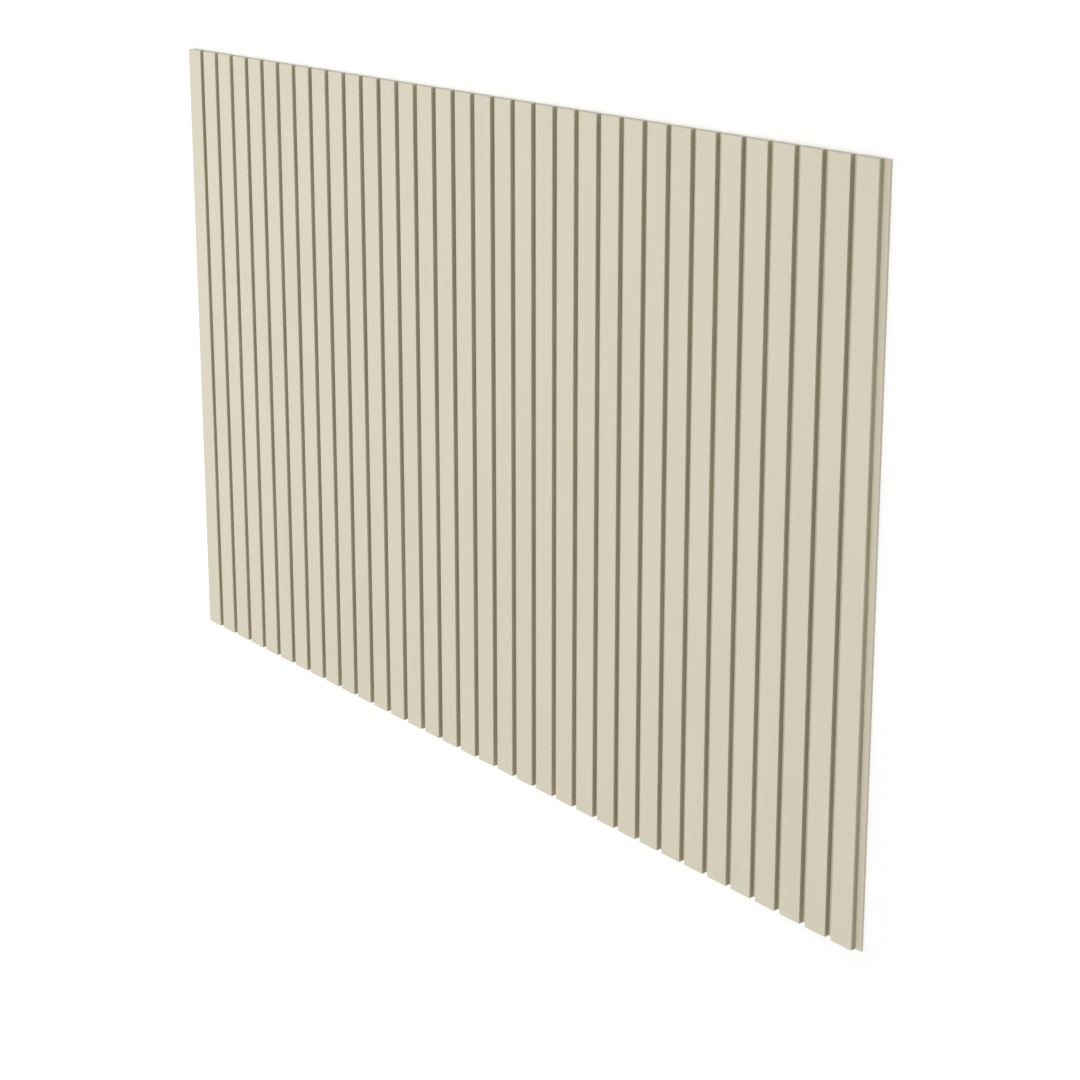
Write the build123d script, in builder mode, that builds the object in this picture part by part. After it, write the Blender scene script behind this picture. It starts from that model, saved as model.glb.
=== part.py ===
"""Slatted MDF wall panel: one board with a row of square grooves routed into its face.

The panel lies on its back with the face up. X runs across the slats, Y along them and
Z through the board. The origin is the middle of the back face.
"""

import os

from build123d import *

# Driving dimensions, in millimetres
panel_width = 1220.0
panel_height = 813.0
board_thickness = 9.0
slat_count = 34
groove_width = 8.0
groove_depth = 6.5
arris_radius = 0.5

# Each slat is followed by one groove, so the last groove is cut off by the panel's edge
# and leaves the thin lip that the next panel's first slat butts against.
pitch = panel_width / slat_count
slat_width = pitch - groove_width

with BuildPart() as grooved_panel:
    # The section across the slats: the board, less the grooves, with eased slat edges
    with BuildSketch(Plane.XZ) as section:
        Rectangle(panel_width, board_thickness, align=(Align.CENTER, Align.MIN))
        with Locations((slat_width / 2, board_thickness)):
            with GridLocations(pitch, 0, slat_count, 1):
                Rectangle(
                    groove_width,
                    groove_depth,
                    align=(Align.CENTER, Align.MAX),
                    mode=Mode.SUBTRACT,
                )
        face_corners = section.vertices().group_by(Axis.Y)[-1]
        fillet(face_corners, radius=arris_radius)
    # The slats run the whole height, so both ends show the section
    extrude(amount=panel_height / 2, both=True)

grooved_panel.part.label = "grooved_panel"

os.makedirs("parts", exist_ok=True)
export_step(grooved_panel.part, "parts/grooved_panel.step")
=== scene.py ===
"""Looks of a slatted MDF wall panel: sprayed face, darker routed grooves and a white studio.

Laid out as a Blender add-on and run as a script. Lengths are in metres and the frame is the
panel's own: X across the slats, Y along them, Z out of the face, and the origin in the middle
of the back, which lies on the floor.
"""

import bpy
import numpy as np
from mathutils import Matrix, Vector


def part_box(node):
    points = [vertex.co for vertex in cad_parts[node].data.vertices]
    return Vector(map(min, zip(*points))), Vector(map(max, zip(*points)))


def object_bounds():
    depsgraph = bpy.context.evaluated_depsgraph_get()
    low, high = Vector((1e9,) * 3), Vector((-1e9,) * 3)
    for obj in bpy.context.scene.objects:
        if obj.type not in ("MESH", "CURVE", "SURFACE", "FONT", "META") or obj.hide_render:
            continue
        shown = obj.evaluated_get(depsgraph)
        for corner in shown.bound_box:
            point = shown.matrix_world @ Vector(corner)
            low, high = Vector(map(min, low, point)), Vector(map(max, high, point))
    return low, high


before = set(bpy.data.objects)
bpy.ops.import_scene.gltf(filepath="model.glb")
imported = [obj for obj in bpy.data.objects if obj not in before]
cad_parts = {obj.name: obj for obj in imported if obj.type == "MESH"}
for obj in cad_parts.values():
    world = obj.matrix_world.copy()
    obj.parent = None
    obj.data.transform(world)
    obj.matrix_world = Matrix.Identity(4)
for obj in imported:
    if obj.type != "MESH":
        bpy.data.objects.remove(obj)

bl_info = {
    "name": "Slatted MDF Wall Panel",
    "version": (1, 0, 0),
    "blender": (4, 5, 0),
    "location": "View3D > Sidebar > Wall Panel",
    "description": "Finishes a grooved MDF wall panel and sets it in a pale studio",
    "category": "Object",
}

PANEL_NODE = "grooved_panel"
CAD_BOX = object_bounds()
MM = 0.001

# Lens lengths are given for a sensor of this width, in millimetres.
SENSOR_WIDTH = 36

# The slats run up the picture, so this is the upward direction of the camera and the lamps.
ALONG_SLATS = Vector((0, 1, 0))

# A face counts as turned one way when its normal is within 60 degrees of that axis.
TURNED = 0.5

# Points closer than this count as lying at the same level or on the same edge.
MARGIN = 1 * MM

# Nearly all values of a noise texture lie in this range.
NOISE_LOW = 0.3
NOISE_HIGH = 0.7

# Usual refractive index of the binder in a paint.
PAINT_IOR = 1.5

# Sockets of a Mix node by their place, because several of them share a name.
SHARE = 0
NUMBER_A, NUMBER_B = 2, 3
COLOUR_A, COLOUR_B = 6, 7
MIXED_COLOUR = 2


def linear(code):
    """An sRGB hex code as linear red, green and blue."""
    shares = np.array([int(code[i:i + 2], 16) for i in (0, 2, 4)]) / 255
    curve = np.where(shares <= 0.04045, shares / 12.92, ((shares + 0.055) / 1.055) ** 2.4)
    return tuple(float(share) for share in curve)


def groove_floor_level(panel):
    """Height of the groove floors: the lowest level of the panel's points above its back."""
    points = np.empty(len(panel.data.vertices) * 3)
    panel.data.vertices.foreach_get("co", points)
    heights = points.reshape(-1, 3)[:, 2]
    return float(heights[heights > MARGIN].min())


def add(tree, kind, inputs=None, **settings):
    """Adds a node, applies its settings, and gives its inputs a value or a link from a socket."""
    node = tree.nodes.new(kind)
    for name, value in settings.items():
        setattr(node, name, value)
    for key, value in (inputs or {}).items():
        if isinstance(value, bpy.types.NodeSocket):
            tree.links.new(value, node.inputs[key])
        else:
            node.inputs[key].default_value = value
    return node


class PanelFinishSettings(bpy.types.PropertyGroup):
    """Colours and pattern sizes of the panel's finish."""

    paint: bpy.props.FloatVectorProperty(
        name="Paint",
        description="Sprayed beige of the slat faces, the lip and the edges",
        subtype="COLOR",
        min=0,
        max=1,
        default=linear("D8D1BC"),
    )
    paint_drift: bpy.props.FloatVectorProperty(
        name="Paint drift",
        description="Slightly darker paint, where the coat is a little thinner",
        subtype="COLOR",
        min=0,
        max=1,
        default=linear("D5CEB9"),
    )
    # Partly a thin coat over the board and partly painted shade: this colour darkens the groove
    # walls into the dark lines between the slats.
    groove_coat_and_shade: bpy.props.FloatVectorProperty(
        name="Groove coat",
        description="Thin coat in the grooves, darker because the board soaks it up",
        subtype="COLOR",
        min=0,
        max=1,
        default=linear("A4A185"),
    )
    show_through: bpy.props.FloatProperty(
        name="Fibre showing through",
        description="Share of the board's fibre that shows through the thin coat",
        subtype="FACTOR",
        min=0,
        max=1,
        default=0.25,
    )
    fibre_pale: bpy.props.FloatVectorProperty(
        name="Pale fibre",
        description="Lighter wood fibre of bare MDF",
        subtype="COLOR",
        min=0,
        max=1,
        default=linear("B79A70"),
    )
    fibre_dark: bpy.props.FloatVectorProperty(
        name="Dark fibre",
        description="Darker flecks of bare MDF",
        subtype="COLOR",
        min=0,
        max=1,
        default=linear("8C7350"),
    )
    # On the groove walls this share is partly a thin coat and partly painted shade.
    wall_thin_and_shade: bpy.props.FloatProperty(
        name="Thin coat on walls",
        description="Share of thin coat on the groove walls, which catch little spray",
        subtype="FACTOR",
        min=0,
        max=1,
        default=0.8,
    )
    floor_thin: bpy.props.FloatProperty(
        name="Thin coat on floors",
        description="Share of thin coat on the groove floors and the lip",
        subtype="FACTOR",
        min=0,
        max=1,
        default=0.02,
    )
    end_thin: bpy.props.FloatProperty(
        name="Thin coat on ends",
        description="Share of thin coat on the sawn ends",
        subtype="FACTOR",
        min=0,
        max=1,
        default=0.1,
    )
    # Over this reach the groove walls darken down from the face: a thinning coat and painted shade
    # in the groove.
    spray_and_shade_reach: bpy.props.FloatProperty(
        name="Spray reach",
        description="How far down the groove walls the coat goes on thinning",
        unit="LENGTH",
        min=0.1 * MM,
        default=2.5 * MM,
    )
    streak_size: bpy.props.FloatVectorProperty(
        name="Streak size",
        description="Streaks in the thin coat: across the slats, along them and up the walls",
        subtype="XYZ",
        unit="LENGTH",
        min=1 * MM,
        default=(4 * MM, 90 * MM, 3 * MM),
    )
    drift_size: bpy.props.FloatVectorProperty(
        name="Drift size",
        description="Size of the soft tone changes that the spray passes leave along the slats",
        subtype="XYZ",
        unit="LENGTH",
        min=5 * MM,
        default=(60 * MM, 260 * MM, 60 * MM),
    )
    peel: bpy.props.FloatProperty(
        name="Orange peel",
        description="Spacing of the ripples in the sprayed coat",
        unit="LENGTH",
        min=0.5 * MM,
        default=3 * MM,
    )
    fibre: bpy.props.FloatProperty(
        name="Fibre",
        description="Size of the fibre flecks in bare MDF",
        unit="LENGTH",
        min=0.2 * MM,
        default=1.2 * MM,
    )
    relief_height: bpy.props.FloatProperty(
        name="Relief height",
        description="Height of the orange peel and of the fibre that stands up",
        unit="LENGTH",
        min=0,
        default=0.15 * MM,
    )
    relief_strength: bpy.props.FloatProperty(
        name="Relief strength",
        description="Share of that relief which the light picks out",
        subtype="FACTOR",
        min=0,
        max=1,
        default=0.5,
    )
    paint_roughness: bpy.props.FloatProperty(
        name="Paint roughness",
        description="Satin of the full coat",
        subtype="FACTOR",
        min=0,
        max=1,
        default=0.52,
    )
    fibre_roughness: bpy.props.FloatProperty(
        name="Fibre roughness",
        description="Dull surface of bare MDF",
        subtype="FACTOR",
        min=0,
        max=1,
        default=0.85,
    )


class StudioSettings(bpy.types.PropertyGroup):
    """Floor, light and camera around the panel."""

    floor: bpy.props.FloatVectorProperty(
        name="Floor",
        description="Pale matt floor",
        subtype="COLOR",
        min=0,
        max=1,
        default=linear("EDEDEC"),
    )
    floor_lift: bpy.props.FloatProperty(
        name="Floor lift",
        description="Extra white of the floor by the panel, for the camera and reflections only",
        min=0,
        default=0.22,
    )
    far_lift: bpy.props.FloatProperty(
        name="Far lift",
        description="Extra white of the same kind where the lamps no longer reach",
        min=0,
        default=0.57,
    )
    lamp_reach: bpy.props.FloatProperty(
        name="Lamp reach",
        description="How far from the panel's middle the lamps light the floor",
        unit="LENGTH",
        min=1,
        default=6,
    )
    floor_reach: bpy.props.FloatProperty(
        name="Floor reach",
        description="How far the floor runs out from the panel's middle",
        unit="LENGTH",
        min=5,
        default=60,
    )
    sky_level: bpy.props.FloatProperty(
        name="Sky level",
        description="Even white light from all around",
        min=0,
        default=0.51,
    )
    key_power: bpy.props.FloatProperty(
        name="Key power",
        description="Large soft lamp high above the panel",
        unit="POWER",
        min=0,
        default=150,
    )
    key_size: bpy.props.FloatProperty(
        name="Key size",
        description="Side of the square lamp above the panel",
        unit="LENGTH",
        min=0.1,
        default=4.0,
    )
    key_place: bpy.props.FloatVectorProperty(
        name="Key place",
        description="Middle of the lamp above, which faces the panel's middle",
        subtype="XYZ",
        unit="LENGTH",
        default=(0.6, 0.4, 6.0),
    )
    fill_power: bpy.props.FloatProperty(
        name="Fill power",
        description="Weak soft lamp beyond the plain edge",
        unit="POWER",
        min=0,
        default=10,
    )
    fill_size: bpy.props.FloatProperty(
        name="Fill size",
        description="Side of the square lamp beyond the plain edge",
        unit="LENGTH",
        min=0.1,
        default=1.5,
    )
    fill_place: bpy.props.FloatVectorProperty(
        name="Fill place",
        description="Middle of the lamp beyond the plain edge, which faces the panel's middle",
        subtype="XYZ",
        unit="LENGTH",
        default=(-2.0, 0.0, 1.6),
    )
    camera_place: bpy.props.FloatVectorProperty(
        name="Camera place",
        description="Where the camera stands: past the lip, above the head, looking down",
        subtype="XYZ",
        unit="LENGTH",
        default=(1.934, 0.733, 1.560),
    )
    camera_aim: bpy.props.FloatVectorProperty(
        name="Camera aim",
        description="Point of the face that the camera is turned to, along X and Y",
        size=2,
        unit="LENGTH",
        default=(0.115, 0.160),
    )
    lens: bpy.props.FloatProperty(
        name="Lens",
        description="Focal length in millimetres",
        unit="CAMERA",
        min=1,
        default=73.1,
    )
    rise: bpy.props.FloatProperty(
        name="Lens rise",
        description="Vertical shift that keeps the slats nearly parallel in a view from above",
        default=-0.2,
    )


def board_fibre(tree, place, finish):
    """Fleck pattern and colour of bare MDF: short pale and dark fibres in every direction."""
    flecks = add(
        tree,
        "ShaderNodeTexNoise",
        {
            "Vector": place.outputs["Object"],
            "Scale": 1 / finish.fibre,
            "Detail": 4.0,
            "Roughness": 0.65,
            "Distortion": 1.5,
        },
    )
    share = add(
        tree,
        "ShaderNodeMapRange",
        {"Value": flecks.outputs[0], "From Min": NOISE_LOW, "From Max": NOISE_HIGH},
    )
    board = add(
        tree,
        "ShaderNodeMix",
        {
            SHARE: share.outputs[0],
            COLOUR_A: (*finish.fibre_pale, 1),
            COLOUR_B: (*finish.fibre_dark, 1),
        },
        data_type="RGBA",
    )
    return flecks.outputs[0], board.outputs[MIXED_COLOUR]


def thin_coat_and_shade_share(tree, place, turn, finish, panel):
    """Share of thin coat and painted shade: most on the groove walls, little on the sawn ends and
    groove floors.

    A wall faces across the slats and lies inside the panel's two side edges. Down from the face its
    share grows over the reach of the spray, so the walls darken into the groove with painted shade
    as well as a thinner coat. A groove floor or the lip faces up at floor level.
    """
    edge, _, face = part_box(PANEL_NODE)[1]
    spot = add(tree, "ShaderNodeSeparateXYZ", {0: place.outputs["Object"]})

    lean = add(tree, "ShaderNodeMath", {0: turn.outputs["X"]}, operation="ABSOLUTE")
    upright = add(tree, "ShaderNodeMath", {0: lean.outputs[0], 1: TURNED}, operation="GREATER_THAN")
    across = add(tree, "ShaderNodeMath", {0: spot.outputs["X"]}, operation="ABSOLUTE")
    within = add(
        tree,
        "ShaderNodeMath",
        {0: across.outputs[0], 1: edge - MARGIN},
        operation="LESS_THAN",
    )
    wall = add(
        tree,
        "ShaderNodeMath",
        {0: upright.outputs[0], 1: within.outputs[0]},
        operation="MULTIPLY",
    )
    # Painted shade with the thin coat: the walls darken from the face down into the groove.
    wall_fade = add(
        tree,
        "ShaderNodeMapRange",
        {
            "Value": spot.outputs["Z"],
            "From Min": face - finish.spray_and_shade_reach,
            "From Max": face,
            "To Min": finish.wall_thin_and_shade,
            "To Max": finish.floor_thin,
        },
    )
    wall_share = add(
        tree,
        "ShaderNodeMath",
        {0: wall.outputs[0], 1: wall_fade.outputs[0]},
        operation="MULTIPLY",
    )

    facing_up = add(
        tree,
        "ShaderNodeMath",
        {0: turn.outputs["Z"], 1: TURNED},
        operation="GREATER_THAN",
    )
    sunk = add(
        tree,
        "ShaderNodeMath",
        {0: spot.outputs["Z"], 1: groove_floor_level(panel) + MARGIN},
        operation="LESS_THAN",
    )
    bed = add(
        tree,
        "ShaderNodeMath",
        {0: facing_up.outputs[0], 1: sunk.outputs[0]},
        operation="MULTIPLY",
    )
    with_beds = add(
        tree,
        "ShaderNodeMath",
        {0: bed.outputs[0], 1: finish.floor_thin, 2: wall_share.outputs[0]},
        operation="MULTIPLY_ADD",
    )

    along = add(tree, "ShaderNodeMath", {0: turn.outputs["Y"]}, operation="ABSOLUTE")
    end = add(tree, "ShaderNodeMath", {0: along.outputs[0], 1: TURNED}, operation="GREATER_THAN")
    with_ends = add(
        tree,
        "ShaderNodeMath",
        {0: end.outputs[0], 1: finish.end_thin, 2: with_beds.outputs[0]},
        operation="MULTIPLY_ADD",
    )
    return with_ends.outputs[0]


def coat_gaps(tree, place, flecks, finish):
    """Factor around 1 for an uneven coat: streaks along the walls plus specks of raised fibre."""
    streak_place = add(
        tree,
        "ShaderNodeMapping",
        {"Vector": place.outputs["Object"], "Scale": [1 / side for side in finish.streak_size]},
    )
    streak = add(
        tree,
        "ShaderNodeTexNoise",
        {"Vector": streak_place.outputs[0], "Scale": 1.0, "Detail": 3.0, "Roughness": 0.6},
    )
    uneven = add(tree, "ShaderNodeMath", {0: streak.outputs[0], 1: flecks}, operation="ADD")
    gaps = add(
        tree,
        "ShaderNodeClamp",
        {"Value": uneven.outputs[0], "Min": 2 * NOISE_LOW, "Max": 2 * NOISE_HIGH},
    )
    return gaps.outputs[0]


def drifting_paint(tree, place, finish):
    """Colour of the full coat, which drifts a little in tone with the spray passes."""
    drift_place = add(
        tree,
        "ShaderNodeMapping",
        {"Vector": place.outputs["Object"], "Scale": [1 / side for side in finish.drift_size]},
    )
    drift = add(
        tree,
        "ShaderNodeTexNoise",
        {"Vector": drift_place.outputs[0], "Scale": 1.0, "Detail": 3.0},
    )
    share = add(
        tree,
        "ShaderNodeMapRange",
        {"Value": drift.outputs[0], "From Min": NOISE_LOW, "From Max": NOISE_HIGH},
    )
    paint = add(
        tree,
        "ShaderNodeMix",
        {
            SHARE: share.outputs[0],
            COLOUR_A: (*finish.paint, 1),
            COLOUR_B: (*finish.paint_drift, 1),
        },
        data_type="RGBA",
    )
    return paint.outputs[MIXED_COLOUR]


def painted_mdf(finish, panel):
    """Sprayed satin paint over routed MDF.

    Spray lands well on the flat face and the groove floors, a little less on the sawn ends, and
    least on the upright groove walls, where fibre shows through a thin coat. The groove walls also
    carry painted shade in their colour, darker down from the face. The back is bare. The eye sees
    an even beige that drifts a little in tone, with olive-brown lines in the grooves that are
    partly painted shade.
    """
    material = bpy.data.materials.new("sprayed_satin_paint_on_mdf")
    material.use_nodes = True
    tree = material.node_tree
    tree.nodes.clear()
    place = add(tree, "ShaderNodeTexCoord")
    turn = add(tree, "ShaderNodeSeparateXYZ", {0: place.outputs["Normal"]})
    back = add(tree, "ShaderNodeMath", {0: turn.outputs["Z"], 1: -TURNED}, operation="LESS_THAN")
    flecks, board = board_fibre(tree, place, finish)
    thin_coat_and_shade = add(
        tree,
        "ShaderNodeMath",
        {
            0: thin_coat_and_shade_share(tree, place, turn, finish, panel),
            1: coat_gaps(tree, place, flecks, finish),
        },
        operation="MULTIPLY",
    )
    rough_share = add(
        tree,
        "ShaderNodeMath",
        {0: thin_coat_and_shade.outputs[0], 1: back.outputs[0]},
        operation="MAXIMUM",
        use_clamp=True,
    )

    # From thick paint on the face to thin paint with painted shade in the grooves, and none on the
    # back
    thin_paint_and_shade = add(
        tree,
        "ShaderNodeMix",
        {SHARE: finish.show_through, COLOUR_A: (*finish.groove_coat_and_shade, 1), COLOUR_B: board},
        data_type="RGBA",
    )
    coat = add(
        tree,
        "ShaderNodeMix",
        {
            SHARE: thin_coat_and_shade.outputs[0],
            COLOUR_A: drifting_paint(tree, place, finish),
            COLOUR_B: thin_paint_and_shade.outputs[MIXED_COLOUR],
        },
        data_type="RGBA",
    )
    colour = add(
        tree,
        "ShaderNodeMix",
        {SHARE: back.outputs[0], COLOUR_A: coat.outputs[MIXED_COLOUR], COLOUR_B: board},
        data_type="RGBA",
    )

    # Orange peel in the paint, and fibre that stands up where the coat is thin
    peel = add(
        tree,
        "ShaderNodeTexNoise",
        {"Vector": place.outputs["Object"], "Scale": 1 / finish.peel, "Detail": 2.0},
    )
    relief = add(
        tree,
        "ShaderNodeMix",
        {SHARE: rough_share.outputs[0], NUMBER_A: peel.outputs[0], NUMBER_B: flecks},
        data_type="FLOAT",
    )
    bump = add(
        tree,
        "ShaderNodeBump",
        {
            "Height": relief.outputs[0],
            "Strength": finish.relief_strength,
            "Distance": finish.relief_height,
        },
    )
    roughness = add(
        tree,
        "ShaderNodeMapRange",
        {
            "Value": rough_share.outputs[0],
            "To Min": finish.paint_roughness,
            "To Max": finish.fibre_roughness,
        },
    )
    shader = add(
        tree,
        "ShaderNodeBsdfPrincipled",
        {
            "Base Color": colour.outputs[MIXED_COLOUR],
            "Roughness": roughness.outputs[0],
            "IOR": PAINT_IOR,
            "Normal": bump.outputs[0],
        },
    )
    add(tree, "ShaderNodeOutputMaterial", {"Surface": shader.outputs[0]})
    return material


def shown_ray(tree):
    """Socket that is 1 for rays from the camera, reflected and refracted ones too, or else 0."""
    path = add(tree, "ShaderNodeLightPath")
    seen = add(
        tree,
        "ShaderNodeMath",
        {0: path.outputs["Is Camera Ray"], 1: path.outputs["Is Glossy Ray"]},
        operation="MAXIMUM",
    )
    shown = add(
        tree,
        "ShaderNodeMath",
        {0: seen.outputs[0], 1: path.outputs["Is Transmission Ray"]},
        operation="MAXIMUM",
    )
    return shown.outputs[0]


def matt_floor_paint(studio):
    """Matt white floor paint, lifted to white for the camera so that only shadows stay grey.

    The lamps fade with distance, so the lift grows from the panel's corners outwards.
    """
    material = bpy.data.materials.new("matt_white_floor_paint")
    material.use_nodes = True
    tree = material.node_tree
    tree.nodes.clear()
    matt = add(tree, "ShaderNodeBsdfDiffuse", {"Color": (*studio.floor, 1)})
    place = add(tree, "ShaderNodeTexCoord")
    away = add(tree, "ShaderNodeVectorMath", {0: place.outputs["Object"]}, operation="LENGTH")
    lift = add(
        tree,
        "ShaderNodeMapRange",
        {
            "Value": away.outputs["Value"],
            "From Min": CAD_BOX[1].length,
            "From Max": studio.lamp_reach,
            "To Min": studio.floor_lift,
            "To Max": studio.far_lift,
        },
    )
    shown = add(
        tree,
        "ShaderNodeMath",
        {0: shown_ray(tree), 1: lift.outputs[0]},
        operation="MULTIPLY",
    )
    glow = add(tree, "ShaderNodeEmission", {"Strength": shown.outputs[0]})
    both = add(tree, "ShaderNodeAddShader", {0: matt.outputs[0], 1: glow.outputs[0]})
    add(tree, "ShaderNodeOutputMaterial", {"Surface": both.outputs[0]})
    return material


def lay_floor(studio):
    """Square floor just under the panel: four corners at plus and minus its reach."""
    gap = 0.2 * MM
    corners = np.array([(-1, -1), (1, -1), (1, 1), (-1, 1)]) * studio.floor_reach
    points = np.column_stack([corners, np.full(len(corners), -gap)])
    mesh = bpy.data.meshes.new("studio_floor")
    mesh.from_pydata(points.tolist(), [], [range(len(points))])
    mesh.materials.append(matt_floor_paint(studio))
    floor = bpy.data.objects.new("studio_floor", mesh)
    bpy.context.scene.collection.objects.link(floor)


def light_sky(studio):
    """Even white surroundings: lit at the sky level, but plain white to the camera."""
    world = bpy.data.worlds.new("studio_sky")
    world.use_nodes = True
    tree = world.node_tree
    tree.nodes.clear()
    level = add(
        tree,
        "ShaderNodeMapRange",
        {"Value": shown_ray(tree), "To Min": studio.sky_level, "To Max": 1.0},
    )
    white = (1, 1, 1, 1)
    sky = add(tree, "ShaderNodeBackground", {"Color": white, "Strength": level.outputs[0]})
    add(tree, "ShaderNodeOutputWorld", {"Surface": sky.outputs[0]})
    bpy.context.scene.world = world


def turned_to(place, aim):
    """Matrix of a lamp or camera that stands at place and looks at aim, with the slats upright."""
    forward = (aim - place).normalized()
    right = forward.cross(ALONG_SLATS).normalized()
    top = right.cross(forward)
    turn = Matrix((right, top, -forward)).transposed()
    return Matrix.Translation(place) @ turn.to_4x4()


def hang_lamp(name, place, size, power):
    """Soft square lamp that faces the panel's middle."""
    data = bpy.data.lights.new(name, "AREA")
    data.shape = "SQUARE"
    data.size = size
    data.energy = power
    lamp = bpy.data.objects.new(name, data)
    bpy.context.scene.collection.objects.link(lamp)
    lamp.matrix_world = turned_to(Vector(place), Vector())


def set_camera(studio):
    """Camera that looks down on the panel, turned so that the slats run up the picture."""
    data = bpy.data.cameras.new("camera")
    data.lens = studio.lens
    data.sensor_width = SENSOR_WIDTH
    data.shift_y = studio.rise
    camera = bpy.data.objects.new("camera", data)
    bpy.context.scene.collection.objects.link(camera)
    aim = Vector((*studio.camera_aim, CAD_BOX[1].z))
    camera.matrix_world = turned_to(Vector(studio.camera_place), aim)
    bpy.context.scene.camera = camera


class WALLPANEL_OT_finish_panel(bpy.types.Operator):
    """Give the grooved panel its sprayed paint, thin in the grooves"""

    bl_idname = "wallpanel.finish_panel"
    bl_label = "Finish the Panel"

    def execute(self, context):
        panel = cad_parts[PANEL_NODE]
        panel.data.materials.clear()
        panel.data.materials.append(painted_mdf(context.scene.panel_finish, panel))
        return {"FINISHED"}


class WALLPANEL_OT_set_studio(bpy.types.Operator):
    """Lay the floor, light the panel and set the camera"""

    bl_idname = "wallpanel.set_studio"
    bl_label = "Set the Studio"

    def execute(self, context):
        studio = context.scene.panel_studio
        lay_floor(studio)
        light_sky(studio)
        hang_lamp("key_lamp", studio.key_place, studio.key_size, studio.key_power)
        hang_lamp("fill_lamp", studio.fill_place, studio.fill_size, studio.fill_power)
        set_camera(studio)
        context.scene.view_settings.view_transform = "Standard"
        return {"FINISHED"}


class WALLPANEL_PT_sidebar(bpy.types.Panel):
    """Lists the panel's finish and studio with their settings"""

    bl_label = "Wall Panel"
    bl_idname = "WALLPANEL_PT_sidebar"
    bl_space_type = "VIEW_3D"
    bl_region_type = "UI"
    bl_category = "Wall Panel"

    def draw(self, context):
        sections = (
            (WALLPANEL_OT_finish_panel, context.scene.panel_finish),
            (WALLPANEL_OT_set_studio, context.scene.panel_studio),
        )
        for operator, settings in sections:
            box = self.layout.box()
            box.operator(operator.bl_idname)
            for name in type(settings).__annotations__:
                box.prop(settings, name)


CLASSES = (
    PanelFinishSettings,
    StudioSettings,
    WALLPANEL_OT_finish_panel,
    WALLPANEL_OT_set_studio,
    WALLPANEL_PT_sidebar,
)


def register():
    for cls in CLASSES:
        bpy.utils.register_class(cls)
    bpy.types.Scene.panel_finish = bpy.props.PointerProperty(type=PanelFinishSettings)
    bpy.types.Scene.panel_studio = bpy.props.PointerProperty(type=StudioSettings)


def unregister():
    del bpy.types.Scene.panel_studio
    del bpy.types.Scene.panel_finish
    for cls in reversed(CLASSES):
        bpy.utils.unregister_class(cls)


def main():
    register()
    bpy.ops.wallpanel.finish_panel()
    bpy.ops.wallpanel.set_studio()


if __name__ == "__main__":
    main()
